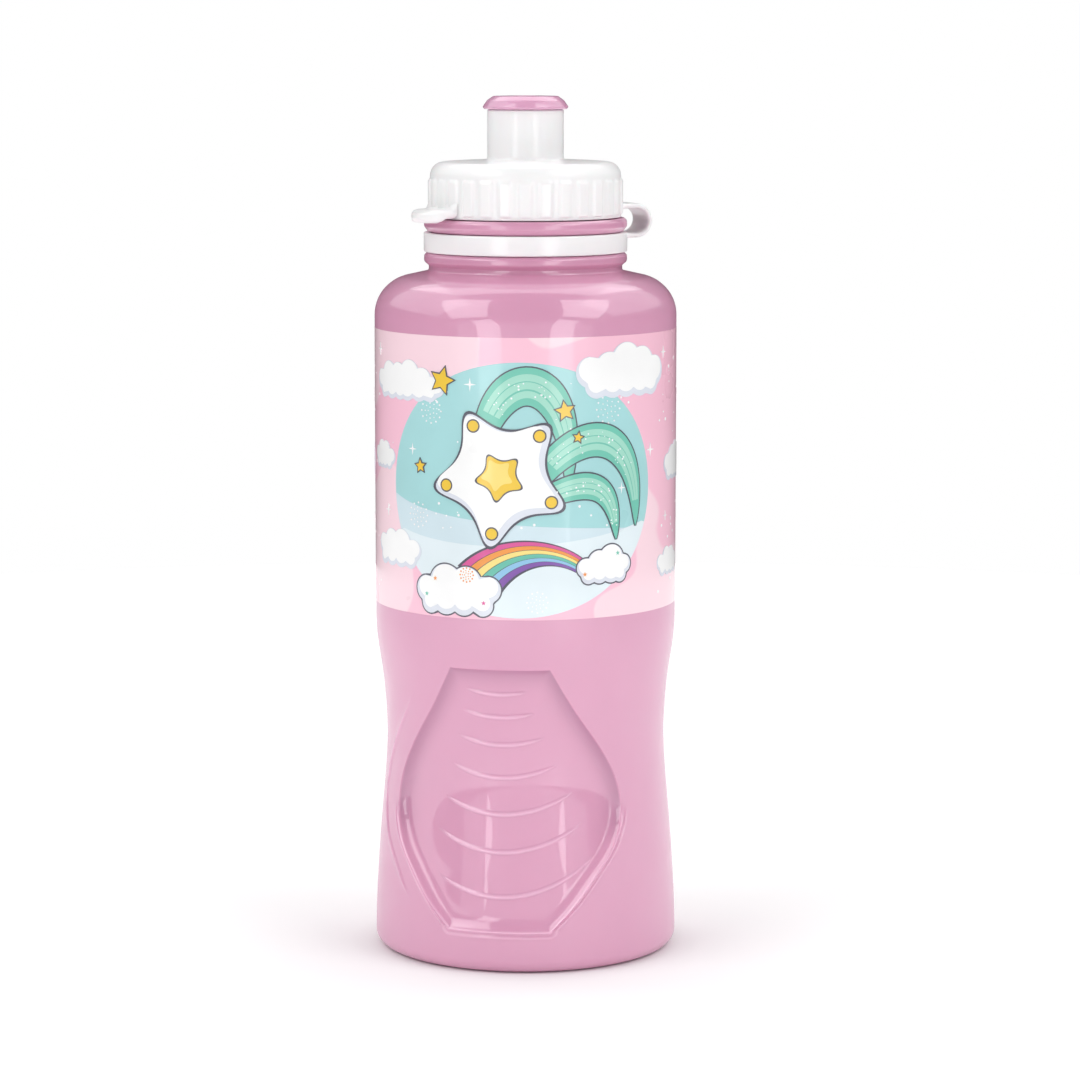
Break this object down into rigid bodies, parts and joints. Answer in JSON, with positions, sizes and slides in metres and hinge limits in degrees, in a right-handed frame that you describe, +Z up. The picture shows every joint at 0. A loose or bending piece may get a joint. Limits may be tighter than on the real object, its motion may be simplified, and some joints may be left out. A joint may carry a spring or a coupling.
{
  "type": "kids water bottle",
  "caption": "Small squeezable drinking bottle with a waisted grip, a printed band, a tethered ribbed screw cap and a push-pull mouthpiece on a spout tube.",
  "frame": {"origin": "centre of the base, on the surface that the bottle stands on", "axes": "+Z up along the bottle's axis; -Y is the side that carries the printed disc"},
  "size_m": [0.0666, 0.0666, 0.187],
  "materials": {
    "bottle_pink": "satin-gloss blow-moulded low-density polyethylene, pink",
    "label_print": "glossy printed film, pale pink with a teal disc, clouds and a rainbow",
    "cap_white": "satin injection-moulded polypropylene, white",
    "liner_soft": "soft off-white sealing ring",
    "nozzle_pink": "satin soft-touch polyethylene, pink"
  },
  "bodies": {
    "bottle": {"bottle_body": "bottle_pink", "label_sleeve": "label_print"},
    "tether": {"neck_ring": "cap_white", "tether_strap": "cap_white"},
    "cap": {"screw_cap": "cap_white", "cap_liner": "liner_soft"},
    "nozzle": {"pull_nozzle": "nozzle_pink"}
  },
  "joints": [
    {"name": "cap_turn", "type": "hinge", "parent": "bottle", "child": "tether", "pos_m": [0, 0, 0.1552], "axis": [0, 0, 1], "range_deg": [0, 900]},
    {"name": "cap_lift", "type": "slide", "parent": "tether", "child": "cap", "axis": [0, 0, 1], "range_m": [0, 0.01], "deforming": ["tether_strap"]},
    {"name": "nozzle_pull", "type": "slide", "parent": "cap", "child": "nozzle", "axis": [0, 0, 1], "range_m": [0, 0.006]}
  ],
  "couplings": [
    {"joint": "cap_lift", "follows": "cap_turn", "m_per_rad": 0.0006366}
  ]
}
